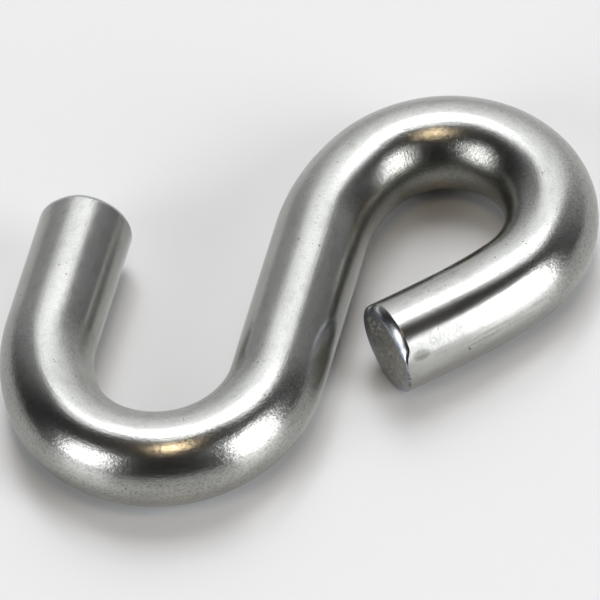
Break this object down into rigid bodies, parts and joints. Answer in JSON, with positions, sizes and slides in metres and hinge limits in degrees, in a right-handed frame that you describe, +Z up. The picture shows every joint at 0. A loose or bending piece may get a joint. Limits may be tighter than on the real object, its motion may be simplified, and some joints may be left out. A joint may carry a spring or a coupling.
{
  "type": "s hook",
  "caption": "S-shaped hook bent from one length of round steel bar, with a nearly closed eye at one end and an open hook at the other.",
  "frame": {"origin": "on the surface that the hook lies on, under the middle of its outline's box", "axes": "+X along the overall length towards the nearly closed eye, +Y across the S towards the open hook's cut end, +Z up, square to the plane that the bar is bent in"},
  "size_m": [0.0546, 0.0338, 0.008],
  "materials": {
    "bright_steel": "bright tumbled stainless bar: soft gloss, faint drawing lines, fine pits, sheared cut ends"
  },
  "bodies": {
    "root": {"s_hook": "bright_steel"}
  },
  "joints": []
}
